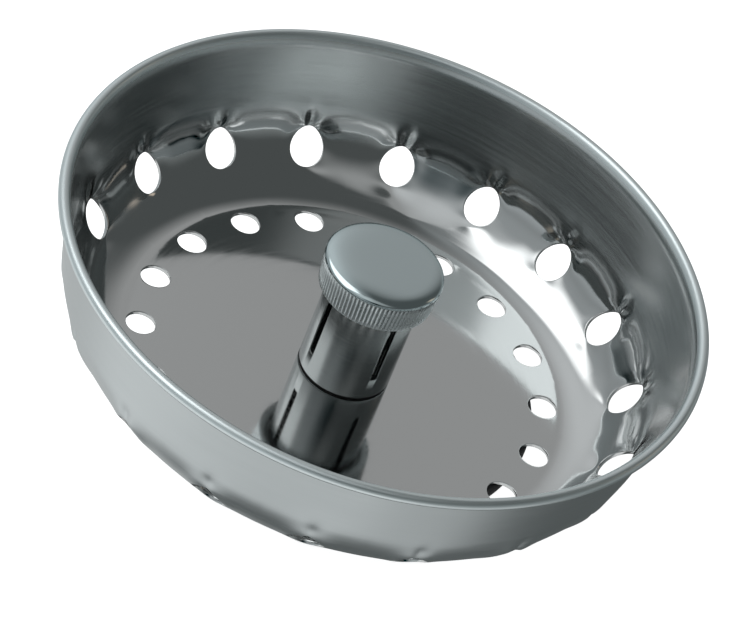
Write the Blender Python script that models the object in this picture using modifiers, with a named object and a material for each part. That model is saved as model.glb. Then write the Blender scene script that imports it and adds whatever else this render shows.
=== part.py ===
"""Kitchen sink basket strainer: a pressed, perforated cup with a rubber stopper clamped below it
and a slotted spring sleeve above it. A knob on a post slides and turns in the sleeve.

Run with: blender --background --python part.py
+Z is the post's axis, and the origin is the centre of the post's flat tip.
Heights named Z are above the top face of the cup's flat floor.
"""

import math

import bmesh
import bpy
from mathutils import Matrix, Vector

MM = 0.001

FLOOR_HEIGHT = 12.0 * MM  # the floor's top face above the post's tip
TRAVEL = 8.0 * MM  # how far the knob lifts
GAP = 0.08 * MM  # between pieces that touch
PLAY = 0.08 * MM  # radial clearance round the post and inside the stack

SHEET = 0.5 * MM  # thickness of the cup's steel
RIM_RADIUS = 40.0 * MM
LIP_RADIUS = 1.2 * MM  # outside radius of the rolled lip
LIP_Z = 18.1 * MM  # centre of the rolled lip
WALL_RADIUS = 36.6 * MM  # outside of the wall, where the rounded corner ends
FLAT_RADIUS = 27.0 * MM  # where the flat floor ends
CORNER_HEIGHT = 11.0 * MM

HOLE_PAIRS = 18
SMALL_HOLE_RADIUS = 1.75 * MM
SMALL_HOLE_CIRCLE = 25.3 * MM
LARGE_HOLE_RADIUS = 2.1 * MM
LARGE_HOLE_CIRCLE = 34.6 * MM
LARGE_HOLE_Z = 4.4 * MM
LARGE_HOLE_DIP = math.radians(63.0)  # the punch points outward and this far down
PUNCH_LENGTH = 8.0 * MM

SLEEVE_RADIUS = 5.7 * MM
SLEEVE_TOP_Z = 13.95 * MM
SHOULDER_Z = 0.46 * MM  # underside of the sleeve's shoulder
CHAMBER_RADIUS = 4.9 * MM
CHAMBER_FLOOR_Z = 1.6 * MM
NECK_RADIUS = 4.4 * MM
NECK_END_Z = -8.0 * MM
SLOT_WIDTH = 1.2 * MM
SLOT_END_Z = 3.3 * MM
SLOT_TURN = math.radians(26.6)  # of the first slot from the first pair of holes

POST_RADIUS = 3.3 * MM
SPIGOT_RADIUS = 2.2 * MM
SPIGOT_TOP_Z = 16.4 * MM
TIP_CHAMFER = 0.6 * MM
STOP_RING_Z = 1.72 * MM
STOP_RING_THICKNESS = 0.6 * MM
STOP_GROOVE_DEPTH = 0.6 * MM
SEAL_Z = -7.2 * MM
SEAL_SECTION = 0.36 * MM  # radius of the seal's round section
SEAL_GROOVE_DEPTH = 0.75 * MM
SEAL_GROOVE_WIDTH = 1.0 * MM

KNOB_RADIUS = 7.3 * MM
KNOB_BOTTOM_Z = 13.0 * MM
KNOB_SHOULDER_Z = 17.0 * MM
KNOB_TOP_Z = 17.75 * MM
KNOB_TAPER = 0.35 * MM
KNOB_ROUNDING = 0.35 * MM

STOPPER_RADIUS = 23.8 * MM
STOPPER_THICKNESS = 1.7 * MM
STOPPER_HUB_THICKNESS = 2.4 * MM
STOPPER_HUB_RADIUS = 15.5 * MM
STOPPER_EDGE = 1.0 * MM
BEAD_CIRCLE = 20.8 * MM
BEAD_WIDTH = 1.6 * MM
BEAD_HEIGHT = 1.4 * MM
BACKING_RADIUS = 12.5 * MM
BACKING_THICKNESS = 0.8 * MM
LOCK_RADIUS = 7.2 * MM
LOCK_THICKNESS = 0.9 * MM
NUT_ACROSS_FLATS = 14.0 * MM
NUT_THICKNESS = 2.4 * MM

EDGE = 0.16 * MM  # chamfer that breaks a machined edge
LONG = 30.0 * MM  # for a cutter that has to reach past what it cuts

CUP_SEGMENTS = HOLE_PAIRS * 4
WIDE_SEGMENTS = 48
SEGMENTS = 36


def clear_scene():
    for item in list(bpy.data.objects):
        bpy.data.objects.remove(item)


def new_material(name, colour, roughness, metallic):
    material = bpy.data.materials.new(name)
    material.use_nodes = True
    shader = material.node_tree.nodes["Principled BSDF"]
    shader.inputs["Base Color"].default_value = (*colour, 1.0)
    shader.inputs["Roughness"].default_value = roughness
    shader.inputs["Metallic"].default_value = metallic
    material.diffuse_color = (*colour, 1.0)
    return material


def place(item, collection):
    """Links an object, with its origin on the post's axis at the height of the cup's floor."""
    for owner in list(item.users_collection):
        owner.objects.unlink(item)
    collection.objects.link(item)
    item.location.z = FLOOR_HEIGHT
    return item


def cutter(item, collection):
    item.hide_render = True
    item.display_type = "WIRE"
    return place(item, collection)


def subtract(item, tool):
    """Cuts a cutter, or every cutter in a collection, out of item."""
    modifier = item.modifiers.new("Cut", "BOOLEAN")
    modifier.operation = "DIFFERENCE"
    if isinstance(tool, bpy.types.Collection):
        modifier.operand_type = "COLLECTION"
        modifier.collection = tool
    else:
        modifier.object = tool


def turned(name, profile, segments=SEGMENTS, loop=False):
    """An object turned about Z from (radius, z) points, which run down its outer side.

    A loop is the section of a ring. Any other profile starts and ends on the axis, or is the
    line of a thin sheet.
    """
    points = [(radius, 0.0, z) for radius, z in profile]
    edges = [(i, i + 1) for i in range(len(points) - 1)]
    if loop:
        edges.append((len(points) - 1, 0))
    mesh = bpy.data.meshes.new(name)
    mesh.from_pydata(points, edges, [])
    item = bpy.data.objects.new(name, mesh)
    screw = item.modifiers.new("Turn", "SCREW")
    screw.steps = segments
    screw.render_steps = segments
    screw.use_merge_vertices = True
    screw.merge_threshold = 0.01 * MM
    return item


def ring(name, inner, outer, low, high, edge=0.0):
    """A flat ring, with its two outer edges broken where edge is more than nothing."""
    profile = [(inner, high), (outer - edge, high)]
    if edge:
        profile += [(outer, high - edge), (outer, low + edge)]
    else:
        profile.append((outer, high))
    profile += [(outer - edge, low), (inner, low)]
    return turned(name, profile, loop=True)


def bmesh_object(name, build):
    """An object whose mesh is made by calling build on an empty bmesh."""
    shape = bmesh.new()
    build(shape)
    mesh = bpy.data.meshes.new(name)
    shape.to_mesh(mesh)
    shape.free()
    return bpy.data.objects.new(name, mesh)


def saw(name, size, centre, collection, turn=0.0):
    """A box that cuts a slot, turned about the post's axis."""

    def build(shape):
        bmesh.ops.create_cube(shape, size=1.0)
        bmesh.ops.scale(shape, vec=size, verts=shape.verts)
        bmesh.ops.translate(shape, vec=centre, verts=shape.verts)

    item = cutter(bmesh_object(name, build), collection)
    item.rotation_euler.z = turn
    return item


def cylinder(name, radius, length, segments, transform):
    def build(shape):
        bmesh.ops.create_cone(
            shape,
            cap_ends=True,
            segments=segments,
            radius1=radius,
            radius2=radius,
            depth=length,
            matrix=transform,
        )

    return bmesh_object(name, build)


def cup_midline():
    """The middle of the cup's sheet, from the centre hole out to the end of the rolled lip."""
    half = SHEET / 2
    points = [(NECK_RADIUS + 2 * PLAY, -half), (FLAT_RADIUS, -half)]
    corner_steps = 7
    for step in range(1, corner_steps + 1):
        turn = math.pi / 2 * step / corner_steps
        across = (WALL_RADIUS - half - FLAT_RADIUS) * math.sin(turn)
        up = CORNER_HEIGHT * (1 - math.cos(turn))
        points.append((FLAT_RADIUS + across, up - half))
    for angle in range(170, -1, -34):
        turn = math.radians(angle)
        across = (LIP_RADIUS - half) * math.cos(turn)
        up = (LIP_RADIUS - half) * math.sin(turn)
        points.append((RIM_RADIUS - LIP_RADIUS + across, LIP_Z + up))
    return points


def make_punches(cutters):
    """A pair of punches at each azimuth: one through the floor, one through the corner."""
    punches = bpy.data.collections.new("cup_punches")
    cutters.children.link(punches)
    dip = Vector((math.cos(LARGE_HOLE_DIP), 0.0, -math.sin(LARGE_HOLE_DIP)))
    lean = Vector((0, 0, -1)).rotation_difference(dip).to_matrix().to_4x4()
    small_at = Matrix.Translation((SMALL_HOLE_CIRCLE, 0, 0))
    large_at = Matrix.Translation((LARGE_HOLE_CIRCLE, 0, LARGE_HOLE_Z)) @ lean
    for number in range(HOLE_PAIRS):
        small = cylinder(f"small_punch_{number + 1}", SMALL_HOLE_RADIUS, PUNCH_LENGTH, 12, small_at)
        large = cylinder(f"large_punch_{number + 1}", LARGE_HOLE_RADIUS, PUNCH_LENGTH, 12, large_at)
        for punch in (small, large):
            cutter(punch, punches).rotation_euler.z = math.tau * number / HOLE_PAIRS
    return punches


def make_basket(cutters):
    basket = turned("basket", cup_midline(), CUP_SEGMENTS)
    sheet = basket.modifiers.new("Sheet", "SOLIDIFY")
    sheet.thickness = SHEET
    sheet.offset = 0.0
    sheet.use_even_offset = True
    subtract(basket, make_punches(cutters))
    return basket


def make_sleeve(cutters):
    """Four spring fingers above with jaws at their tips, and a hollow threaded neck below."""
    bore = POST_RADIUS + PLAY
    jaw_z = STOP_RING_Z + STOP_RING_THICKNESS + TRAVEL + GAP
    profile = [
        (SLEEVE_RADIUS - EDGE, SLEEVE_TOP_Z),
        (SLEEVE_RADIUS, SLEEVE_TOP_Z - EDGE),
        (SLEEVE_RADIUS, SHOULDER_Z + EDGE),
        (SLEEVE_RADIUS - EDGE, SHOULDER_Z),
        (NECK_RADIUS, SHOULDER_Z),
        (NECK_RADIUS, NECK_END_Z + EDGE),
        (NECK_RADIUS - EDGE, NECK_END_Z),
        (bore, NECK_END_Z),
        (bore, CHAMBER_FLOOR_Z),
        (CHAMBER_RADIUS, CHAMBER_FLOOR_Z),
        (CHAMBER_RADIUS, jaw_z),
        (bore, jaw_z),
        (bore, SLEEVE_TOP_Z),
    ]
    sleeve = turned("sleeve", profile, loop=True)
    centre = (0, 0, SLOT_END_Z + LONG / 2)
    for number in range(2):
        turn = SLOT_TURN + math.pi / 2 * number
        name = f"finger_saw_{number + 1}"
        subtract(sleeve, saw(name, (LONG, SLOT_WIDTH, LONG), centre, cutters, turn))
    return sleeve


def make_sleeve_gasket():
    """The thin black washer that seals the sleeve's shoulder on the floor."""
    inner = NECK_RADIUS + PLAY
    outer = SLEEVE_RADIUS - GAP
    return ring("sleeve_gasket", inner, outer, GAP, SHOULDER_Z - GAP)


def make_stopper():
    """The rubber stopper: flat on top, with a sealing bead near the edge of its underside."""
    top = -SHEET - GAP
    web = top - STOPPER_THICKNESS
    hub = top - STOPPER_HUB_THICKNESS
    inner = NECK_RADIUS + PLAY
    profile = [
        (STOPPER_RADIUS - 2 * EDGE, top),
        (STOPPER_RADIUS, top - 2 * EDGE),
        (STOPPER_RADIUS, top - STOPPER_EDGE),
        (BEAD_CIRCLE + BEAD_WIDTH, web),
        (BEAD_CIRCLE + BEAD_WIDTH / 2, web - BEAD_HEIGHT),
        (BEAD_CIRCLE - BEAD_WIDTH / 2, web - BEAD_HEIGHT),
        (BEAD_CIRCLE - BEAD_WIDTH, web),
        (STOPPER_HUB_RADIUS, web),
        (STOPPER_HUB_RADIUS - 2 * (web - hub), hub),
        (inner, hub),
        (inner, top),
    ]
    return turned("stopper", profile, WIDE_SEGMENTS, loop=True)


def make_clamping_stack(cutters):
    """What holds the stopper up: backing washer, split lock washer and hexagon nut."""
    inner = NECK_RADIUS + 2 * PLAY
    high = -SHEET - GAP - STOPPER_HUB_THICKNESS - GAP
    low = high - BACKING_THICKNESS
    backing = ring("backing_washer", inner, BACKING_RADIUS, low, high, EDGE)

    high = low - GAP
    low = high - LOCK_THICKNESS
    lock = ring("lock_washer", inner, LOCK_RADIUS, low, high)
    split = (LONG, 0.8 * MM, LONG)
    subtract(lock, saw("washer_saw", split, (LONG / 2, 0, 0), cutters))

    high = low - GAP
    low = high - NUT_THICKNESS
    middle = Matrix.Translation((0, 0, (low + high) / 2))
    corner = NUT_ACROSS_FLATS / 2 / math.cos(math.pi / 6)
    nut = cylinder("clamp_nut", corner, NUT_THICKNESS, 6, middle)
    drill = cylinder("nut_drill", inner, LONG, SEGMENTS, Matrix.Identity(4))
    subtract(nut, cutter(drill, cutters))
    return [backing, lock, nut]


def make_post():
    """The post: a spigot for the knob, a groove for the stop ring and one for the seal."""
    ring_low = STOP_RING_Z - GAP / 2
    ring_high = STOP_RING_Z + STOP_RING_THICKNESS + GAP / 2
    ring_groove = POST_RADIUS - STOP_GROOVE_DEPTH
    seal_low = SEAL_Z - SEAL_GROOVE_WIDTH / 2
    seal_high = SEAL_Z + SEAL_GROOVE_WIDTH / 2
    seal_groove = POST_RADIUS - SEAL_GROOVE_DEPTH
    tip_z = -FLOOR_HEIGHT
    profile = [
        (0, SPIGOT_TOP_Z),
        (SPIGOT_RADIUS, SPIGOT_TOP_Z),
        (SPIGOT_RADIUS, SLEEVE_TOP_Z),
        (POST_RADIUS, SLEEVE_TOP_Z),
        (POST_RADIUS, ring_high),
        (ring_groove, ring_high),
        (ring_groove, ring_low),
        (POST_RADIUS, ring_low),
        (POST_RADIUS, seal_high),
        (seal_groove, seal_high),
        (seal_groove, seal_low),
        (POST_RADIUS, seal_low),
        (POST_RADIUS, tip_z + TIP_CHAMFER),
        (POST_RADIUS - TIP_CHAMFER, tip_z),
        (0, tip_z),
    ]
    return turned("post", profile)


def make_stop_ring(cutters):
    """The open snap ring in the post's groove, which stops it at both ends of its travel."""
    inner = POST_RADIUS - STOP_GROOVE_DEPTH + GAP
    outer = CHAMBER_RADIUS - 2 * PLAY
    snap = ring("stop_ring", inner, outer, STOP_RING_Z, STOP_RING_Z + STOP_RING_THICKNESS)
    subtract(snap, saw("ring_saw", (LONG, 2.4 * MM, LONG), (LONG / 2, 0, 0), cutters))
    return snap


def make_post_seal():
    """The round-section rubber ring that keeps water from leaking past the post."""
    bpy.ops.mesh.primitive_torus_add(
        location=(0, 0, 0),
        major_segments=SEGMENTS,
        minor_segments=8,
        major_radius=POST_RADIUS - SEAL_GROOVE_DEPTH + GAP / 2 + SEAL_SECTION,
        minor_radius=SEAL_SECTION,
    )
    seal = bpy.context.object
    seal.name = "post_seal"
    seal.data.transform(Matrix.Translation((0, 0, SEAL_Z)))
    return seal


def make_knob_cap():
    """The round grip, with a recess below for the tips of the sleeve's fingers."""
    recess_radius = SLEEVE_RADIUS + 4 * PLAY
    recess_z = SLEEVE_TOP_Z + 2 * GAP
    socket_radius = SPIGOT_RADIUS + PLAY
    socket_z = SPIGOT_TOP_Z + GAP
    dome_radius = KNOB_RADIUS - KNOB_ROUNDING
    dome_z = KNOB_SHOULDER_Z + KNOB_ROUNDING
    profile = [(0, KNOB_TOP_Z)]
    for share in (0.35, 0.7, 1.0):
        drop = (KNOB_TOP_Z - dome_z) * share * share
        profile.append((dome_radius * share, KNOB_TOP_Z - drop))
    profile += [
        (KNOB_RADIUS, KNOB_SHOULDER_Z),
        (KNOB_RADIUS - KNOB_TAPER, KNOB_BOTTOM_Z),
        (recess_radius, KNOB_BOTTOM_Z),
        (recess_radius, recess_z),
        (socket_radius, recess_z),
        (socket_radius, socket_z),
        (0, socket_z),
    ]
    return turned("knob_cap", profile, WIDE_SEGMENTS)


def finish(item, material, collection):
    """Places a piece, and makes its shape a mesh that is smooth except at its real edges."""
    place(item, collection)
    item.data.materials.append(material)
    view_layer = bpy.context.view_layer
    view_layer.update()
    shape = item.evaluated_get(view_layer.depsgraph)
    mesh = bpy.data.meshes.new_from_object(shape)
    mesh.name = item.name
    mesh.shade_smooth()
    mesh.set_sharp_from_angle(angle=math.radians(35))
    item.modifiers.clear()
    item.data = mesh


def main():
    clear_scene()
    strainer = bpy.data.collections.new("basket_strainer")
    cutters = bpy.data.collections.new("cutters")
    for collection in (strainer, cutters):
        bpy.context.scene.collection.children.link(collection)

    polished = new_material("polished_stainless", (0.56, 0.57, 0.57), 0.12, 1.0)
    machined = new_material("machined_stainless", (0.52, 0.53, 0.53), 0.3, 1.0)
    zinc = new_material("zinc_plated_steel", (0.6, 0.6, 0.58), 0.35, 1.0)
    rubber = new_material("black_rubber", (0.02, 0.02, 0.02), 0.7, 0.0)

    finish(make_basket(cutters), polished, strainer)
    finish(make_sleeve(cutters), machined, strainer)
    finish(make_sleeve_gasket(), rubber, strainer)
    finish(make_stopper(), rubber, strainer)
    for item in make_clamping_stack(cutters):
        finish(item, zinc, strainer)
    finish(make_post(), machined, strainer)
    finish(make_stop_ring(cutters), zinc, strainer)
    finish(make_post_seal(), rubber, strainer)
    finish(make_knob_cap(), polished, strainer)


main()
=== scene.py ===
# %% [markdown]
# # A kitchen sink basket strainer
# The object is a pressed steel cup that sits in a sink's drain. A rubber stopper is clamped under
# it, and a knurled knob stands in the middle on a post that slides and turns in a slotted spring
# sleeve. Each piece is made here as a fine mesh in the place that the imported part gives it.

# %% Frame and tools
import math

import bpy
import numpy as np
from mathutils import Matrix, Vector


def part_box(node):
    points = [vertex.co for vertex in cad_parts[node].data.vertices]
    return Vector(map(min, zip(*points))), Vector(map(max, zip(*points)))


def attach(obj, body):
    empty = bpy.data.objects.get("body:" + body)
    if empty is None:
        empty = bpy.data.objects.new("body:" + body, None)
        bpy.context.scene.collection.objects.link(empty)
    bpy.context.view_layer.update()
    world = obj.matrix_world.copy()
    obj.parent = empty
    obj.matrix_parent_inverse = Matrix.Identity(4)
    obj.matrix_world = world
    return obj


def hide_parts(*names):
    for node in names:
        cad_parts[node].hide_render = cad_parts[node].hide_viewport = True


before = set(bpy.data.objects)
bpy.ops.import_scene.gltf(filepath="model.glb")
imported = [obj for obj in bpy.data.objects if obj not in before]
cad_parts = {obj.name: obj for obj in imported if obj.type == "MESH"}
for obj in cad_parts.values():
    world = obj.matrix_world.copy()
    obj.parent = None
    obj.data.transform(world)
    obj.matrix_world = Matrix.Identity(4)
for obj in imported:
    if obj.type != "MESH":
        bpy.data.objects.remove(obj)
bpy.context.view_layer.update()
MM = 0.001

# %% [markdown]
# ## Sizes
# Lengths are in millimetres, and heights are counted from the top face of the cup's flat floor,
# because that is where the pieces meet. The steel is half a millimetre thick, so the floor's top
# face is that much above the lowest point of the cup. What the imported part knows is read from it.

# %% Driving sizes
SHEET = 0.5
FLOOR_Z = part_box("basket")[0].z / MM + SHEET
RIM_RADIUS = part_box("basket")[1].x / MM
HOLE_PAIRS = 18
POST_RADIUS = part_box("post")[1].x / MM
SLEEVE_RADIUS = 5.75
NECK_RADIUS = 4.4
NECK_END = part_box("sleeve")[0].z / MM - FLOOR_Z
print(f"cup floor {FLOOR_Z:.2f} mm above the post's tip, rim radius {RIM_RADIUS:.2f} mm")

# %% [markdown]
# ## Camera
# A long lens from a little under half a metre keeps the rim's ellipse nearly regular. The camera
# is rolled, so that the post leans in the frame as if the strainer were held up to be looked into.
# Turning about Z, then tilting, then rolling is the same order as a tripod's head.

# %% Camera
AIM = Vector((-0.11, -0.06, FLOOR_Z + 9.27)) * MM
DISTANCE = 417.15 * MM
AZIMUTH, ELEVATION, ROLL = (math.radians(a) for a in (-15.63, 40.574, 22.377))

camera = bpy.data.objects.new("camera", bpy.data.cameras.new("camera"))
bpy.context.scene.collection.objects.link(camera)
head = Matrix.Rotation(AZIMUTH, 4, "Z") @ Matrix.Rotation(math.pi / 2 - ELEVATION, 4, "X")
camera.matrix_world = (
    Matrix.Translation(AIM) @ head @ Matrix.Rotation(ROLL, 4, "Z")
    @ Matrix.Translation((0, 0, DISTANCE))
)
camera.data.sensor_width = 36
camera.data.lens = 172.77
camera.data.clip_start = 0.05
bpy.context.scene.camera = camera
print("camera stands", round(DISTANCE / MM), "mm from the middle of the cup")

# %% [markdown]
# ## Turning shapes
# Nearly every piece here was spun, turned on a lathe or moulded in a round mould, so one function
# makes them all: it sends an outline round the axis. Blender's Screw modifier could do that, but a
# mesh made in code can also move each point in or out as it goes round, which gives the knob its
# teeth, the neck its thread and the nut its flats. An outline runs down its outer side.

# %% Mesh objects and turned pieces
def mesh_object(name, points, faces):
    """A smooth-shaded object from points in millimetres above the cup's floor."""
    mesh = bpy.data.meshes.new(name)
    lifted = (np.asarray(points, dtype=float) + (0, 0, FLOOR_Z)) * MM
    mesh.from_pydata(lifted.tolist(), [], faces)
    mesh.validate()
    mesh.shade_smooth()
    made = bpy.data.objects.new(name, mesh)
    bpy.context.scene.collection.objects.link(made)
    return made


def turned(name, outline, columns=144, relief=None, sharp=40):
    """Turns (radius, height) points about Z. relief(radius, height, angles) moves them outward."""
    angles = np.linspace(0, math.tau, columns, endpoint=False)
    points, faces, before = [], [], None
    closed = min(radius for radius, _ in outline) > 0
    for radius, height in outline + (outline[:1] if closed else []):
        start = len(points)
        if radius == 0:
            points.append((0, 0, height))
            ring = [start] * columns
        else:
            reach = radius + (relief(radius, height, angles) if relief else 0 * angles)
            points += zip(reach * np.cos(angles), reach * np.sin(angles), [height] * columns)
            ring = list(range(start, start + columns))
        for i in range(columns if before else 0):
            j = (i + 1) % columns
            quad = (before[i], ring[i], ring[j], before[j])
            faces.append(tuple(dict.fromkeys(quad)))
        before = ring
    made = mesh_object(name, points, faces)
    weld = made.modifiers.new("Weld", "WELD")
    weld.merge_threshold = 0.001 * MM
    made.data.set_sharp_from_angle(angle=math.radians(sharp))
    return made


# %% [markdown]
# No real edge is a knife edge. Each corner of an outline gets a small arc, whose size is written
# beside it as a third number, and these arcs are what catch the light along a turned part.

# %% Rounded outlines
def rounded(corners, steps=4):
    """An outline whose corners (radius, height, fillet) are replaced by arcs."""
    outline = []
    count = len(corners)
    for i, corner in enumerate(corners):
        here = np.array(corner[:2], dtype=float)
        fillet = corner[2] if len(corner) > 2 else 0
        if not fillet:
            outline.append(tuple(here))
            continue
        to_last = np.array(corners[i - 1][:2], dtype=float) - here
        to_next = np.array(corners[(i + 1) % count][:2], dtype=float) - here
        to_last /= np.linalg.norm(to_last)
        to_next /= np.linalg.norm(to_next)
        half = math.acos(np.clip(to_last @ to_next, -1, 1)) / 2
        setback = fillet / math.tan(half)
        inward = (to_last + to_next) / np.linalg.norm(to_last + to_next)
        middle = here + inward * fillet / math.sin(half)
        start = here + to_last * setback - middle
        end = here + to_next * setback - middle
        sweep = math.pi - 2 * half
        for step in range(steps + 1):
            share = step / steps
            arc = (math.sin((1 - share) * sweep) * start + math.sin(share * sweep) * end)
            outline.append(tuple(middle + arc / math.sin(sweep)))
    return outline


# %% [markdown]
# ## The cup: its section
# The cup is deep drawn from a flat blank, so its section is one smooth line: a flat floor, a wide
# rounded corner, a nearly straight wall, a short flare and a lip curled outward. The corner isn't a
# quarter circle: a drawn corner bends quickest near the wall, so it is a superellipse, which is an
# ellipse whose sine and cosine are raised to a power. The line is kept as many close points with
# the distance along it, so that any place on the cup can be named by two numbers: how far out along
# the sheet, and the angle round the axis.

# %% Section of the cup
CENTRE_HOLE = 4.6
FLAT_RADIUS = 27.0
CORNER = (9.95, 11.0)  # its width and height
CORNER_POWER = 1.12
CORNER_END = 81.8  # the wall starts before the corner is quite upright
CURL = (RIM_RADIUS - 0.9, 18.64, 0.44)  # the lip's centre (radius, height) and its bend
CURL_ENDS = (145, -35)
FLARE_BEND = 3.8
FLARE_ENDS = (171, 147)
CORNER_POINTS, BEND_POINTS = 200, 60


def cup_section():
    """Close points down the middle of the sheet, from the centre hole to the lip's edge."""
    turn = np.radians(np.linspace(0, CORNER_END, CORNER_POINTS)[1:])
    out, up = np.sin(turn) ** CORNER_POWER, 1 - np.cos(turn) ** CORNER_POWER
    radius = [CENTRE_HOLE, FLAT_RADIUS, *(FLAT_RADIUS + CORNER[0] * out)]
    height = [-SHEET / 2, -SHEET / 2, *(CORNER[1] * up - SHEET / 2)]
    curl_r, curl_z, curl_bend = CURL
    joint = math.radians(FLARE_ENDS[1])
    flare_r = curl_r + (curl_bend - FLARE_BEND) * math.cos(joint)
    flare_z = curl_z + (curl_bend - FLARE_BEND) * math.sin(joint)
    flare = (flare_r, flare_z, FLARE_BEND)
    for (middle_r, middle_z, bend), (start, end) in ((flare, FLARE_ENDS), (CURL, CURL_ENDS)):
        angles = np.radians(np.linspace(start, end, BEND_POINTS))
        radius += list(middle_r + bend * np.cos(angles))
        height += list(middle_z + bend * np.sin(angles))
    return np.array(radius), np.array(height)


section_r, section_z = cup_section()
section_s = np.concatenate([[0], np.cumsum(np.hypot(np.diff(section_r), np.diff(section_z)))])
CUP_LENGTH = section_s[-1]
print(f"the sheet is {CUP_LENGTH:.1f} mm from the centre hole to the lip's edge")

# %% [markdown]
# ## The cup: its dimples
# Each large hole is pierced from the inside through the rounded corner, and the punch drags the
# metal with it. A flat facet is pressed round the hole, which leans out at its top. Under the hole
# the sheet is pushed out into a low lip, and above it a narrow crease is left where the sheet was
# pinched. This function says how far the sheet stands out at a place beside a hole, a millimetres
# up the wall and b millimetres along the rim. Each of its three parts fades out in a smooth hill.

# %% Dimples round the large holes
LARGE_HOLE_Z = 4.3
CORNER_ONLY = slice(1, CORNER_POINTS)
LARGE_HOLE_S = float(np.interp(LARGE_HOLE_Z, section_z[CORNER_ONLY], section_s[CORNER_ONLY]))
LARGE_HOLE_SIZE = (2.45, 2.65)
FACET_SIZE = (3.7, 3.1)
FACET_PUSH, FACET_SLOPE = 0.17, 0.09
LOW_LIP = (0.3, -2.9, 0.9, 1.6)  # how far out, where up the wall, and its half sizes
CREASE = (-0.24, 3.8, 0.95, 0.52)


def hill(a, b, push, middle, long, wide):
    """A smooth round-topped hill on the sheet, or a dip where push is below nothing."""
    return push * np.exp(-((a - middle) ** 2) / 2 / long**2 - b**2 / 2 / wide**2)


def dimple(a, b):
    """How far the sheet stands out beside a large hole."""
    facet = 1 / (1 + ((a / FACET_SIZE[0]) ** 2 + (b / FACET_SIZE[1]) ** 2) ** 3)
    return (FACET_PUSH + FACET_SLOPE * a) * facet + hill(a, b, *LOW_LIP) + hill(a, b, *CREASE)


def on_cup(s, angle):
    """The point on the middle of the sheet at distance s from the centre hole."""
    radius, height = np.interp(s, section_s, section_r), np.interp(s, section_s, section_z)
    reach = 0.3
    out_r = np.interp(s + reach, section_s, section_z) - np.interp(s - reach, section_s, section_z)
    out_z = np.interp(s - reach, section_s, section_r) - np.interp(s + reach, section_s, section_r)
    size = np.hypot(out_r, out_z)
    push = dimple(s - LARGE_HOLE_S, radius * angle)
    radius, height = radius + push * out_r / size, height + push * out_z / size
    return np.stack([radius * np.cos(angle), radius * np.sin(angle), height], axis=-1)


# %% [markdown]
# ## The cup: its mesh
# Polished steel shows every bad polygon, so the holes aren't cut with a Boolean, which leaves long
# thin faces. Instead one eighteenth of the cup is laid out as a stack of patches: plain grids, and
# round a hole a grid of rings that starts as the hole's outline and ends as the patch's square
# border. The patch is then repeated eighteen times and welded.

# %% Patches of the sheet
COLUMNS = 24
HIDDEN_RIM = 1.0  # this far round the centre hole the sleeve covers the floor
SECTOR = math.tau / HOLE_PAIRS
SMALL_HOLE_CIRCLE = 25.27
SMALL_HOLE_S = SMALL_HOLE_CIRCLE - CENTRE_HOLE
SMALL_HOLE_SIZE = (1.86, 1.86)
LARGE_HOLE_TIP = 0.3


def plain_patch(start, end, rows):
    """A grid of (s, angle) points across one sector, and its faces."""
    s = np.linspace(start, end, rows + 1)
    angle = np.linspace(-SECTOR / 2, SECTOR / 2, COLUMNS + 1)
    places = [(a, b) for a in s for b in angle]
    wide = COLUMNS + 1
    faces = []
    for i in range(rows):
        for j in range(COLUMNS):
            k = i * wide + j
            faces.append((k, k + 1, k + wide + 1, k + wide))
    return places, faces


def hole_patch(start, end, rows, rings, centre, size, tip):
    """A patch round a hole. tip above nothing draws the hole's top out into a point."""
    radius = float(np.interp(centre, section_s, section_r))
    side = np.linspace(start, end, rows + 1)
    across = np.linspace(-SECTOR / 2, SECTOR / 2, COLUMNS + 1)
    border = [(start, b) for b in across] + [(a, SECTOR / 2) for a in side[1:]]
    border += [(end, b) for b in across[-2::-1]] + [(a, -SECTOR / 2) for a in side[-2:0:-1]]
    border = np.array(border)
    out = np.arctan2(border[:, 1] * radius, border[:, 0] - centre)
    point = np.abs(np.sin(out / 2)) ** tip
    outline = np.stack(
        [centre + size[1] * np.cos(out), size[0] * np.sin(out) * point / radius], axis=-1
    )
    places, faces = [], []
    total = len(border)
    for ring in range(rings + 1):
        share = (ring / rings) ** 1.5
        places += list(outline * (1 - share) + border * share)
        for i in range(total if ring else 0):
            j = (i + 1) % total
            low, high = (ring - 1) * total, ring * total
            faces.append((low + i, high + i, high + j, low + j))
    return places, faces


# %% [markdown]
# The bands follow each other along the sheet. The large holes' band is taller than the holes, so
# that their dimples lie on its finer mesh, and the tight bends of the flare and the curl get rows
# of their own. The flat floor needs only a few rows.

# %% Bands and the whole cup
small_band = (SMALL_HOLE_S - 2.9, SMALL_HOLE_S + 2.9)
large_band = (LARGE_HOLE_S - 4.6, LARGE_HOLE_S + 5.4)
flare_start = CUP_LENGTH - 4.4
curl_start = CUP_LENGTH - 1.5
patches = [
    plain_patch(0, HIDDEN_RIM, 1),
    plain_patch(HIDDEN_RIM, small_band[0], 4),
    hole_patch(*small_band, 10, 6, SMALL_HOLE_S, SMALL_HOLE_SIZE, 0),
    plain_patch(small_band[1], large_band[0], 4),
    hole_patch(*large_band, 16, 10, LARGE_HOLE_S, LARGE_HOLE_SIZE, LARGE_HOLE_TIP),
    plain_patch(large_band[1], flare_start, 10),
    plain_patch(flare_start, curl_start, 10),
    plain_patch(curl_start, CUP_LENGTH, 12),
]
cup_points, cup_faces = [], []
for number in range(HOLE_PAIRS):
    spin = np.array(Matrix.Rotation(number * SECTOR, 3, "Z"))
    for places, faces in patches:
        start = len(cup_points)
        s, angle = np.array(places).T
        cup_points += list(on_cup(s, angle) @ spin.T)
        cup_faces += [tuple(start + k for k in face) for face in faces]

cup = mesh_object("pressed_cup", cup_points, cup_faces)
print("cup mesh:", len(cup_points), "points before welding")

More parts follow.
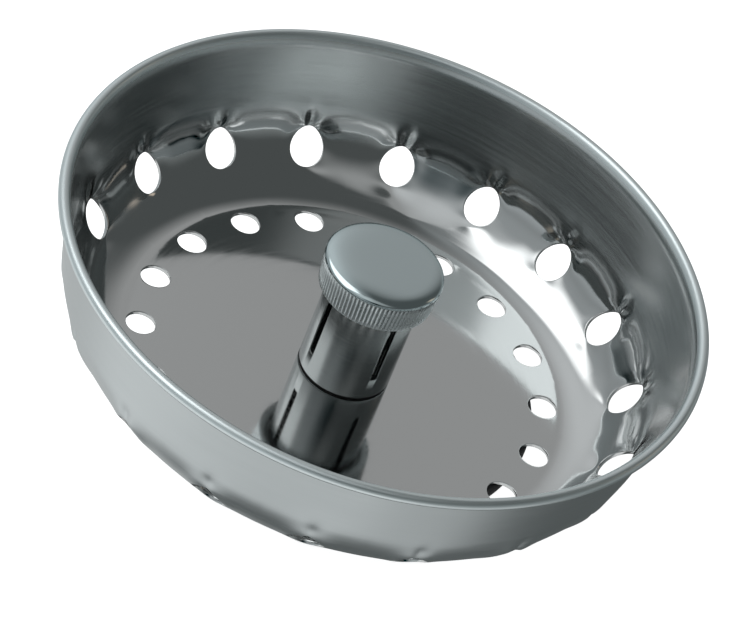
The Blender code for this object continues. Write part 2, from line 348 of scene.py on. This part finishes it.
# %% [markdown]
# The mesh is only the middle of the sheet. Solidify gives it its thickness, and its material offset
# lets the inside have another finish than the outside. The lip is a third finish on both sides: it
# is rougher, and its paler grey is a painted highlight. Pierced edges are tumbled, so a small bevel
# breaks them.

# %% Thickness and broken edges
# The lip's faces get their own steel, which is rougher and whose paler grey is a painted highlight.
LIP_FINISH_AND_PAINTED_HIGHLIGHT = 2
LIP_FINISH_AND_PAINTED_HIGHLIGHT_Z = CURL[1] - 0.1
for face in cup.data.polygons:
    if face.center.z > (LIP_FINISH_AND_PAINTED_HIGHLIGHT_Z + FLOOR_Z) * MM:
        face.material_index = LIP_FINISH_AND_PAINTED_HIGHLIGHT
weld = cup.modifiers.new("Weld", "WELD")
weld.merge_threshold = 0.01 * MM
thick = cup.modifiers.new("Sheet", "SOLIDIFY")
thick.thickness = SHEET * MM
thick.offset = 0
thick.material_offset = 1
thick.material_offset_rim = 1


def break_edges(piece, width):
    """A small bevel, in millimetres, on every edge sharper than 50 degrees."""
    edges = piece.modifiers.new("Broken edges", "BEVEL")
    edges.width = width * MM
    edges.segments = 2
    edges.limit_method = "ANGLE"
    edges.angle_limit = math.radians(50)


break_edges(cup, 0.06)
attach(cup, "strainer")
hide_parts("basket")
print("the lip's finish starts", round(LIP_FINISH_AND_PAINTED_HIGHLIGHT_Z, 2), "mm above the floor")

# %% [markdown]
# ## The spring sleeve
# The sleeve is a turned tube, sawn into four fingers that grip the post. Its neck goes down
# through the cup and the stopper, and carries the thread for the clamping nut. A thread is a
# helix, which the turning function can make: the groove's height moves on as the angle grows.

# %% Section of the sleeve
SHOULDER_Z = 0.28  # leaves room for the gasket
SLEEVE_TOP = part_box("sleeve")[1].z / MM - FLOOR_Z
BORE = POST_RADIUS + 0.08
CHAMBER = (4.9, 1.6, 10.4)  # the stop ring's room: radius, bottom and top
THREAD_PITCH = 0.8
THREAD_DEPTH = 0.28
THREAD_START = -0.6
SLOT_WIDTH = 0.9
SLOT_END = 3.3
SLOT_ANGLES = (26.6, 116.6)  # one cut through the axis makes two slots


def thread(radius, height, angles):
    """Cuts a helical groove into whatever part of the neck is at its full radius."""
    if abs(radius - NECK_RADIUS) > 0.01 or height > THREAD_START:
        return 0 * angles
    wave = np.cos(math.tau * height / THREAD_PITCH - angles)
    return THREAD_DEPTH / 2 * wave - THREAD_DEPTH / 2


neck = [(NECK_RADIUS, z) for z in np.arange(SHOULDER_Z, NECK_END + 0.3, -THREAD_PITCH / 8)]
sleeve_outline = rounded([
    (SLEEVE_RADIUS, SLEEVE_TOP, 0.25),
    (SLEEVE_RADIUS, SHOULDER_Z, 0.12),
    *neck,
    (NECK_RADIUS - 0.3, NECK_END),
    (BORE, NECK_END),
    (BORE, CHAMBER[1]),
    (CHAMBER[0], CHAMBER[1]),
    (CHAMBER[0], CHAMBER[2]),
    (BORE, CHAMBER[2]),
    (BORE, SLEEVE_TOP, 0.2),
])
sleeve = turned("spring_sleeve", sleeve_outline, 144, thread)
print("sleeve", round(SLEEVE_TOP - SHOULDER_Z, 1), "mm tall above the gasket")

# %% [markdown]
# The slots have plain flat sides, so here a Boolean with a box is the simplest way, as a saw is on
# the real sleeve. The box itself is hidden from the render.

# %% Slots of the sleeve
def cut(piece, name, size, centre, angle=0):
    """Cuts a box out of a piece. The box is turned about the post's axis by angle, in degrees."""
    half = np.array(size) / 2
    corners = [(x, y, z) for x in (-1, 1) for y in (-1, 1) for z in (-1, 1)]
    sides = [(0, 1, 3, 2), (4, 6, 7, 5), (0, 4, 5, 1), (2, 3, 7, 6), (0, 2, 6, 4), (1, 5, 7, 3)]
    blade = mesh_object(name, np.array(corners) * half + centre, sides)
    blade.rotation_euler.z = math.radians(angle)
    blade.hide_render = True
    blade.display_type = "WIRE"
    boolean = piece.modifiers.new("Cut", "BOOLEAN")
    boolean.object = blade
    return blade


for number, angle in enumerate(SLOT_ANGLES):
    size = (4 * SLEEVE_RADIUS, SLOT_WIDTH, 2 * SLEEVE_TOP)
    cut(sleeve, f"slot_blade_{number}", size, (0, 0, SLOT_END + SLEEVE_TOP), angle)
break_edges(sleeve, 0.07)
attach(sleeve, "strainer")
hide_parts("sleeve")
print("sleeve has", 2 * len(SLOT_ANGLES), "fingers")

# %% [markdown]
# ## The gasket under the sleeve
# A thin black washer seals the sleeve's shoulder on the cup. It shows only as a dark line, but
# without that line the sleeve would look as if it grew out of the floor.

# %% Gasket
gasket = turned("shoulder_gasket", rounded([
    (SLEEVE_RADIUS - 0.08, SHOULDER_Z - 0.06, 0.08),
    (SLEEVE_RADIUS - 0.08, 0.04, 0.08),
    (NECK_RADIUS + 0.1, 0.04),
    (NECK_RADIUS + 0.1, SHOULDER_Z - 0.06),
]), 96)
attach(gasket, "strainer")
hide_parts("sleeve_gasket")
print("gasket", round(SHOULDER_Z - 0.1, 2), "mm thick")

# %% [markdown]
# ## The knob
# The grip is turned from bar with a gently domed top and straight knurled: a wheel rolls ninety
# small teeth into its rim. The teeth are only a sixth of a millimetre deep, but they must be real
# geometry, because they break up the knob's lower outline. Under the grip a recess goes over the
# sleeve's top, and a blind hole takes the post's spigot.

# %% Knurl
KNOB_RADIUS = 7.35
KNOB_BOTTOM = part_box("knob_cap")[0].z / MM - FLOOR_Z
KNOB_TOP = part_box("knob_cap")[1].z / MM - FLOOR_Z
KNURL_TOP = 16.72
KNURL_TAPER = 0.32 / 3.7  # the grip is narrower towards its foot
TEETH = 90
TOOTH_DEPTH = 0.16
RECESS_RADIUS = 6.0
RECESS_TOP = SLEEVE_TOP + 0.16
SPIGOT_HOLE = (2.3, 16.48)
POINTS_PER_TOOTH = 8


def teeth(radius, height, angles):
    """The knurl: fades out under the dome above it and at the chamfer below it."""
    if radius < RECESS_RADIUS + 0.6:
        return 0 * angles
    top = np.clip((KNURL_TOP - height) / 0.15, 0, 1)
    bottom = np.clip((height - KNOB_BOTTOM - 0.05) / 0.2, 0, 1)
    wave = 0.5 + 0.5 * np.cos(TEETH * angles)
    return TOOTH_DEPTH * top * bottom * (wave**0.7 - 1)


# %% [markdown]
# The dome's outline is a superellipse too: almost flat in the middle, and rounded off ever quicker
# towards the edge. Its points lie closer together there, so that the bend stays smooth.

# %% Dome and body of the knob
DOME_POWER = 4.2
DOME_FOOT = KNURL_TOP + 0.06
DOME_RADIUS = KNOB_RADIUS - 0.04
DOME_TURNS = (0, 10, 20, 30, 40, 49, 57, 64, 70, 75, 79, 82.5, 85.5, 88, 90)
KNURL_HEIGHTS = (16.72, 16.64, 16.56, 15.6, 14.6, 13.8, 13.26, 13.16, 13.06)
dome = [
    (DOME_RADIUS * share, DOME_FOOT + (KNOB_TOP - DOME_FOOT) * math.sqrt(1 - share**DOME_POWER))
    for share in np.sin(np.radians(DOME_TURNS))
]
knurl = [(KNOB_RADIUS - KNURL_TAPER * (KNURL_TOP - z), z) for z in KNURL_HEIGHTS]
underside = [
    (RECESS_RADIUS + 0.85, KNOB_BOTTOM),
    (RECESS_RADIUS + 0.1, KNOB_BOTTOM),
    (RECESS_RADIUS, KNOB_BOTTOM + 0.1),
    (RECESS_RADIUS, RECESS_TOP),
    (SPIGOT_HOLE[0], RECESS_TOP),
    SPIGOT_HOLE,
    (0, SPIGOT_HOLE[1]),
]
knob = turned("knurled_knob", dome + knurl + underside, TEETH * POINTS_PER_TOOTH, teeth, 50)
for face in knob.data.polygons:
    if face.center.z < (KNURL_TOP + FLOOR_Z) * MM:
        face.material_index = 1
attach(knob, "knob")
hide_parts("knob_cap")
print("tooth pitch", round(math.tau * KNOB_RADIUS / TEETH, 2), "mm")

# %% [markdown]
# ## The post
# A plain ground rod. Its lower end is all that shows while the knob is down, and when the knob is
# pulled up, its upper end shows between the knob and the sleeve.

# %% Post
TIP = -FLOOR_Z
TIP_CHAMFER = 0.6
SPIGOT = (2.2, 16.4)  # its radius and top
STOP_GROOVE = (1.68, 2.36, 2.7)  # its bottom and top, and its floor's radius
SEAL_GROOVE = (-7.7, -6.7, 2.55)
post_outline = rounded([
    (0, SPIGOT[1]),
    (*SPIGOT, 0.2),
    (SPIGOT[0], SLEEVE_TOP),
    (POST_RADIUS, SLEEVE_TOP, 0.15),
    (POST_RADIUS, STOP_GROOVE[1]),
    (STOP_GROOVE[2], STOP_GROOVE[1]),
    (STOP_GROOVE[2], STOP_GROOVE[0]),
    (POST_RADIUS, STOP_GROOVE[0]),
    (POST_RADIUS, SEAL_GROOVE[1]),
    (SEAL_GROOVE[2], SEAL_GROOVE[1]),
    (SEAL_GROOVE[2], SEAL_GROOVE[0]),
    (POST_RADIUS, SEAL_GROOVE[0]),
    (POST_RADIUS, TIP + TIP_CHAMFER, 0.3),
    (POST_RADIUS - TIP_CHAMFER, TIP, 0.2),
    (0, TIP),
])
post = turned("sliding_post", post_outline, 108)
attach(post, "knob")
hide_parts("post")
print("post is", round(SPIGOT[1] - TIP, 1), "mm long")

# %% [markdown]
# ## The rubber stopper
# Moulded black rubber. The bead near its edge seals on the drain's seat, the fine rings inside it
# are left by the mould, and every edge is soft because rubber can't fill a sharp corner. The disc
# has some play round the neck, so it sits a little off centre.

# %% Stopper
STOPPER_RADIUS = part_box("stopper")[1].x / MM
STOPPER_OFFSET = Vector((0.42, -0.15, 0)) * MM
top = -SHEET - 0.08
web = top - 1.7
hub = top - 2.4
BEAD_CIRCLE, BEAD_DEPTH = 20.8, 1.36
RING_RADII = (18.6, 17.8, 17.0)
HUB_RADIUS = 15.5
rings = []
for radius in RING_RADII:
    rings += [(radius + 0.25, web), (radius, web - 0.22, 0.1), (radius - 0.25, web)]
stopper_outline = rounded([
    (STOPPER_RADIUS - 0.1, top, 0.3),
    (STOPPER_RADIUS - 0.1, top - 1.0, 0.3),
    (BEAD_CIRCLE + 1.6, web, 0.4),
    (BEAD_CIRCLE + 0.8, web - BEAD_DEPTH, 0.4),
    (BEAD_CIRCLE - 0.8, web - BEAD_DEPTH, 0.4),
    (BEAD_CIRCLE - 1.6, web, 0.3),
    *rings,
    (HUB_RADIUS, web, 0.3),
    (HUB_RADIUS - 1.4, hub, 0.2),
    (NECK_RADIUS + 0.5, hub),
    (NECK_RADIUS + 0.5, top),
])
stopper = turned("rubber_stopper", stopper_outline, 144)
stopper.location = STOPPER_OFFSET
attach(stopper, "strainer")
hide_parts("stopper")
print("stopper", round(2 * STOPPER_RADIUS, 1), "mm across")

# %% [markdown]
# ## The clamping stack
# Under the rubber come a backing washer, a split lock washer and a hexagon nut. The washers are
# stamped, so one side of each has a soft edge. A nut's corners are chamfered by a cone, which
# leaves a curved line on each flat: the smaller of the hexagon's and the cone's radius gives it.

# %% Washers
BACKING_RADIUS = 12.5
LOCK_RADIUS = 7.2
NUT_HOLE = NECK_RADIUS + 0.16


def stack_place(node):
    """(bottom, top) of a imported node, in millimetres above the cup's floor."""
    low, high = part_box(node)
    return low.z / MM - FLOOR_Z, high.z / MM - FLOOR_Z


low, high = stack_place("backing_washer")
backing = turned("backing_plate", rounded([
    (BACKING_RADIUS, high, 0.08),
    (BACKING_RADIUS, low, 0.3),
    (NUT_HOLE, low, 0.2),
    (NUT_HOLE, high),
]), 120)
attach(backing, "strainer")
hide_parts("backing_washer")

low, high = stack_place("lock_washer")
spring = turned("split_washer", rounded([
    (LOCK_RADIUS, high, 0.1),
    (LOCK_RADIUS, low, 0.1),
    (NUT_HOLE, low, 0.1),
    (NUT_HOLE, high, 0.1),
]), 96)
cut(spring, "washer_blade", (8, 0.8, 4), (6, 0, (low + high) / 2), 0)
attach(spring, "strainer")
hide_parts("lock_washer")
print("backing and lock washers made")

# %% Nut
FLAT = 7.0  # from the axis to a flat
CORNER_REACH = 8.1
CHAMFER_STEPS = np.array([0, 0.08, 0.18, 0.3, 0.45, 0.65])
low, high = stack_place("clamp_nut")


def hexagon(radius, height, angles):
    """Pulls the nut's outer points in to its flats, and to its chamfer near both faces."""
    if radius < FLAT:
        return 0 * angles
    turn = (angles + math.pi / 2) % (math.pi / 3) - math.pi / 6
    inset = min(high - height, height - low)
    cone = FLAT - 0.05 + inset / math.tan(math.radians(30))
    return np.minimum(FLAT / np.cos(turn), cone) - radius


sides = [(CORNER_REACH, z) for z in (*(high - CHAMFER_STEPS), *(low + CHAMFER_STEPS[::-1]))]
bore = [
    (NUT_HOLE + 0.25, low),
    (NUT_HOLE, low + 0.25),
    (NUT_HOLE, high - 0.25),
    (NUT_HOLE + 0.25, high),
]
nut = turned("hexagon_nut", sides + bore, 120, hexagon, 20)
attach(nut, "strainer")
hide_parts("clamp_nut")
print("nut", 2 * FLAT, "mm across flats")

# %% [markdown]
# ## Materials: two helpers
# A colour is chosen as an sRGB hex value, as on a paint chart, and turned to the linear light that
# Blender works in. Nodes are added by one function that also sets their values and links.

# %% Colours and nodes
def colour(hex_code):
    """An sRGB hex colour as linear RGBA."""
    channels = [int(hex_code[i:i + 2], 16) / 255 for i in (1, 3, 5)]
    linear = [c / 12.92 if c < 0.04045 else ((c + 0.055) / 1.055) ** 2.4 for c in channels]
    return (*linear, 1)


def add_node(tree, kind, inputs=(), **settings):
    """Adds a node. inputs maps a socket's name or number to a value or to another socket."""
    made = tree.nodes.new(kind)
    for name, value in settings.items():
        setattr(made, name, value)
    for key, value in dict(inputs).items():
        if isinstance(value, bpy.types.NodeSocket):
            tree.links.new(value, made.inputs[key])
        else:
            made.inputs[key].default_value = value
    return made


def new_material(name):
    """A material with an empty Principled shader, and its node tree."""
    made = bpy.data.materials.new(name)
    made.use_nodes = True
    return made, made.node_tree, made.node_tree.nodes["Principled BSDF"]


# %% [markdown]
# ## Spin lines
# Polishing a spinning cup leaves very fine rings, like those of a record. They are drawn from
# noise that changes quickly with the distance from the axis (or with height on a wall) and slowly
# round it. The real lines are a few hundredths of a millimetre apart, too fine to show, so they
# are drawn a few tenths apart.

# %% Noise for spin lines
def spin_lines(tree, spacing, along):
    """Noise stretched round the axis. spacing and along are in millimetres."""
    place = add_node(tree, "ShaderNodeTexCoord").outputs["Object"]
    parts = add_node(tree, "ShaderNodeSeparateXYZ", {0: place}).outputs
    flat = add_node(tree, "ShaderNodeCombineXYZ", {0: parts[0], 1: parts[1]}).outputs[0]
    radius = add_node(tree, "ShaderNodeVectorMath", {0: flat}, operation="LENGTH").outputs["Value"]
    out = add_node(tree, "ShaderNodeMath", {0: radius, 1: 1 / (spacing * MM)}, operation="MULTIPLY")
    up = add_node(tree, "ShaderNodeMath", {0: parts[2], 1: 1 / (spacing * MM)}, operation="MULTIPLY")
    both = add_node(tree, "ShaderNodeMath", {0: out.outputs[0], 1: up.outputs[0]}, operation="ADD")
    slow = add_node(
        tree, "ShaderNodeVectorMath", {0: flat, "Scale": 1 / (along * MM)}, operation="SCALE"
    )
    lift = add_node(tree, "ShaderNodeCombineXYZ", {2: both.outputs[0]}).outputs[0]
    point = add_node(tree, "ShaderNodeVectorMath", {0: slow.outputs[0], 1: lift}, operation="ADD")
    return add_node(
        tree, "ShaderNodeTexNoise", {"Vector": point.outputs[0], "Scale": 1.0, "Detail": 3.0}
    ).outputs["Fac"]


def spread(tree, value, low, high):
    """Maps the middle of a noise to a range."""
    inputs = {"Value": value, "From Min": 0.3, "From Max": 0.7, "To Min": low, "To Max": high}
    return add_node(tree, "ShaderNodeMapRange", inputs).outputs[0]


# %% [markdown]
# ## Steel
# The cup, the sleeve, the post and the knob are AISI 304 stainless steel, and what differs is how
# each surface was made. A mirror polish inside the cup shows the room with clear edges. The satin
# outside and the rougher lip blur it to soft bands, and the lip's paler grey is a painted highlight.
# The turned sleeve and post are rougher, and their darker grey is painted shade. The knob's dome was
# buffed after turning, and its knurl was rolled, which leaves it matt. The washers and the nut are
# zinc plated and passivated, a milky grey.

# %% Steel finishes
def steel(name, hex_code, roughness, spacing, along, bump):
    """Stainless steel. roughness is a (low, high) range, bump the height of its lines in mm."""
    made, tree, shader = new_material(name)
    lines = spin_lines(tree, spacing, along)
    shader.inputs["Base Color"].default_value = colour(hex_code)
    shader.inputs["Metallic"].default_value = 1.0
    tree.links.new(spread(tree, lines, *roughness), shader.inputs["Roughness"])
    relief = add_node(
        tree, "ShaderNodeBump", {"Height": lines, "Strength": 1.0, "Distance": bump * MM}
    )
    tree.links.new(relief.outputs[0], shader.inputs["Normal"])
    return made


MIRROR_GREY = "#C4C6C6"
mirror_steel = steel("mirror_polished_304", MIRROR_GREY, (0.05, 0.11), 0.35, 12, 0.00015)
satin_steel = steel("satin_304", "#C2C8C9", (0.28, 0.36), 0.3, 9, 0.0012)
# The lip steel's paler grey is a painted highlight that brightens its band; its roughness is real.
lip_steel_painted_highlight = steel("satin_lip_304_painted_highlight", "#D8E0E1", (0.34, 0.42), 0.3, 9, 0.001)
# The turned steel's darker grey is painted shade; its higher roughness is the real turned finish.
turned_steel_painted_shade = steel("turned_304_painted_shade", "#9A9E9E", (0.2, 0.26), 0.16, 3, 0.0006)
knob_steel = steel("polished_knob_304", "#BCC8CA", (0.09, 0.15), 0.3, 8, 0.0006)
knurl_steel = steel("knurled_304", "#C6CCCD", (0.26, 0.34), 0.3, 2, 0.001)
zinc = steel("bright_zinc_plate", "#BFC2BE", (0.25, 0.4), 0.5, 1, 0.002)
print("steel finishes made")

# %% [markdown]
# The polishing mop reaches the floor of the cup and its corner well, but slips on the steep wall.
# So the polish fades with height: from seven millimetres up the wall is duller. Its grey also turns
# a touch paler and cooler towards the top.

# %% Fading polish
POLISH_FADES = (6.5, 10.5)
WALL_GREY = "#C8CCCC"
WALL_DULLNESS = 0.13
tree = mirror_steel.node_tree
shader = tree.nodes["Principled BSDF"]
place = add_node(tree, "ShaderNodeTexCoord").outputs["Object"]
height = add_node(tree, "ShaderNodeSeparateXYZ", {0: place}).outputs[2]
low, high = ((FLOOR_Z + z) * MM for z in POLISH_FADES)
dull = add_node(
    tree, "ShaderNodeMapRange", {"Value": height, "From Min": low, "From Max": high},
    interpolation_type="SMOOTHSTEP",
).outputs[0]
polished = shader.inputs["Roughness"].links[0].from_socket
extra = add_node(tree, "ShaderNodeMath", {0: dull, 1: WALL_DULLNESS}, operation="MULTIPLY")
both = add_node(tree, "ShaderNodeMath", {0: polished, 1: extra.outputs[0]}, operation="ADD")
tree.links.new(both.outputs[0], shader.inputs["Roughness"])
tint = add_node(
    tree, "ShaderNodeMix", {0: dull, 6: colour(MIRROR_GREY), 7: colour(WALL_GREY)}, data_type="RGBA"
).outputs[2]
tree.links.new(tint, shader.inputs["Base Color"])
print("polish fades between", POLISH_FADES, "mm above the floor")

# %% [markdown]
# ## Rubber
# Nitrile rubber is black and matt. Its highlight is broad and weak, and the mould's fine texture
# shows as small specks. They are drawn a quarter of a millimetre across, some five times too
# coarse, because the real ones are too fine to show.

# %% Rubber
GRAIN = 0.25
rubber, tree, shader = new_material("moulded_nitrile_rubber")
grain = add_node(tree, "ShaderNodeTexNoise", {"Scale": 1 / (GRAIN * MM), "Detail": 4.0})
tree.links.new(add_node(tree, "ShaderNodeTexCoord").outputs["Object"], grain.inputs["Vector"])
shader.inputs["Base Color"].default_value = colour("#1B1B1C")
shader.inputs["IOR"].default_value = 1.5
tree.links.new(spread(tree, grain.outputs["Fac"], 0.5, 0.68), shader.inputs["Roughness"])
relief = add_node(
    tree, "ShaderNodeBump", {"Height": grain.outputs["Fac"], "Strength": 0.4, "Distance": 0.02 * MM}
)
tree.links.new(relief.outputs[0], shader.inputs["Normal"])
print("rubber grain", GRAIN, "mm")

# %% [markdown]
# ## Giving each piece its finish
# The cup has four slots: outside, inside, and the lip's outer and inner faces. Two small hidden
# pieces, the stop ring and the post's seal, are right as the imported part gives them, so they
# only need a finish.

# %% Finishes given
for piece, *finishes in [
    (cup, satin_steel, mirror_steel, lip_steel_painted_highlight, lip_steel_painted_highlight),
    (sleeve, turned_steel_painted_shade),
    (gasket, rubber),
    (knob, knob_steel, knurl_steel),
    (post, turned_steel_painted_shade),
    (stopper, rubber),
    (backing, zinc),
    (spring, zinc),
    (nut, zinc),
]:
    for finish in finishes:
        piece.data.materials.append(finish)
for node, finish in (("stop_ring", zinc), ("post_seal", rubber)):
    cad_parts[node].data.materials.clear()
    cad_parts[node].data.materials.append(finish)

# %% [markdown]
# ## Floor
# A white table that glows a little, so that its shadows stay faint. Its face looks up only: from
# below it is clear, so that the strainer's underside can be looked at too.

# %% Floor
floor_mesh = bpy.data.meshes.new("floor")
reach = 4.0
corners = [(-reach, -reach, 0), (reach, -reach, 0), (reach, reach, 0), (-reach, reach, 0)]
floor_mesh.from_pydata(corners, [], [(0, 1, 2, 3)])
floor = bpy.data.objects.new("floor", floor_mesh)
floor.location.z = -0.02 * MM
bpy.context.scene.collection.objects.link(floor)
table, tree, shader = new_material("white_table")
shader.inputs["Base Color"].default_value = colour("#F2F2F2")
shader.inputs["Roughness"].default_value = 0.8
shader.inputs["Emission Color"].default_value = colour("#FFFFFF")
shader.inputs["Emission Strength"].default_value = 0.88
side = add_node(tree, "ShaderNodeNewGeometry").outputs["Backfacing"]
clear = add_node(tree, "ShaderNodeBsdfTransparent").outputs[0]
one_sided = add_node(tree, "ShaderNodeMixShader", {0: side, 1: shader.outputs[0], 2: clear})
tree.links.new(one_sided.outputs[0], tree.nodes["Material Output"].inputs["Surface"])
floor_mesh.materials.append(table)
floor.visible_glossy = False
floor.visible_shadow = False
print("floor", 2 * reach, "m wide")

# %% [markdown]
# ## Light
# Polished steel has no look of its own, it shows the room. So the light here is a whole room
# painted on the sky: a large soft box high on the left, pale walls, and a white table below. Each
# panel is a patch of the sky given by compass angle and height, with soft edges, and the dark
# between the panels is what makes steel look like steel. The camera itself sees plain white, like
# a paper backdrop.

# %% Sky panels
world = bpy.data.worlds.new("studio")
world.use_nodes = True
bpy.context.scene.world = world
sky = world.node_tree
direction = add_node(sky, "ShaderNodeTexCoord").outputs["Generated"]


def step(value, low, high):
    """0 below low, 1 above high, and a smooth ramp between them."""
    inputs = {"Value": value, "From Min": low, "From Max": high}
    return add_node(sky, "ShaderNodeMapRange", inputs, interpolation_type="SMOOTHSTEP").outputs[0]


def panel(compass, width, bottom, top, softness):
    """A patch of the sky. Angles are in degrees: compass 0 is +Y, and 90 is +X."""
    inputs = {"Vector": direction, "Angle": math.radians(compass)}
    turned_to = add_node(sky, "ShaderNodeVectorRotate", inputs, rotation_type="Z_AXIS").outputs[0]
    part = add_node(sky, "ShaderNodeSeparateXYZ", {0: turned_to}).outputs
    turn = add_node(sky, "ShaderNodeMath", {0: part[0], 1: part[1]}, operation="ARCTAN2").outputs[0]
    across = add_node(sky, "ShaderNodeMath", {0: turn}, operation="ABSOLUTE").outputs[0]
    above = add_node(sky, "ShaderNodeMath", {0: part[2]}, operation="ARCSINE").outputs[0]
    half = math.radians(width / 2)
    bottom, top, fade = (math.radians(a) for a in (bottom, top, softness / 2))
    mask = step(across, half + fade, half - fade)
    over = step(above, bottom - fade, bottom + fade)
    under = step(above, top + fade, top - fade)
    for edge in (over, under):
        mask = add_node(sky, "ShaderNodeMath", {0: mask, 1: edge}, operation="MULTIPLY").outputs[0]
    return mask


# %% [markdown]
# The panels are added up one by one on the room's dim grey. In order: the pale left wall, the soft
# box, a reflector behind the camera, the wall behind the strainer, the table, its brighter near
# part, the light just above the table on the left and on the right, a small lamp, and a dark gap
# that takes light away.

# %% Room light
ROOM_GREY = "#5B5F5F"
PANELS = [  # colour, strength, compass, width, bottom, top, softness
    ("#F4FAFD", 0.35, -85, 165, 12, 84, 40),
    ("#FFFFFF", 1.60, -76, 73, 36, 77, 9),
    ("#FFFFFF", 0.34, -162, 100, 48, 100, 24),
    ("#FAF8F8", 0.37, 0, 84, 12, 62, 30),
    ("#FFFFFF", 0.52, -119, 262, -68, -20, 16),
    ("#FFFFFF", 0.30, -130, 150, -68, -20, 16),
    ("#F4FCFF", 0.38, -90, 160, -25, 14, 16),
    ("#EEF6F6", 0.20, 90, 200, -20, 16, 16),
    ("#FFE9D2", 0.70, 78, 9, 14, 34, 5),
    ("#FFFFFF", -0.24, -166, 30, 20, 52, 14),
]


def scaled(value, factor):
    """A colour times a number or a mask."""
    return add_node(
        sky, "ShaderNodeVectorMath", {0: value, "Scale": factor}, operation="SCALE"
    ).outputs[0]


light = add_node(sky, "ShaderNodeRGB").outputs[0]
light.default_value = colour(ROOM_GREY)
for hex_code, strength, *place in PANELS:
    glow = scaled(scaled(colour(hex_code)[:3], strength), panel(*place))
    light = add_node(sky, "ShaderNodeVectorMath", {0: light, 1: glow}, operation="ADD").outputs[0]
camera_ray = add_node(sky, "ShaderNodeLightPath").outputs["Is Camera Ray"]
white = colour("#FFFFFF")
backdrop = add_node(sky, "ShaderNodeMix", {0: camera_ray, 6: light, 7: white}, data_type="RGBA")
sky.links.new(backdrop.outputs[2], sky.nodes["Background"].inputs["Color"])
bpy.context.scene.view_settings.view_transform = "Standard"
print(len(PANELS), "sky panels painted")
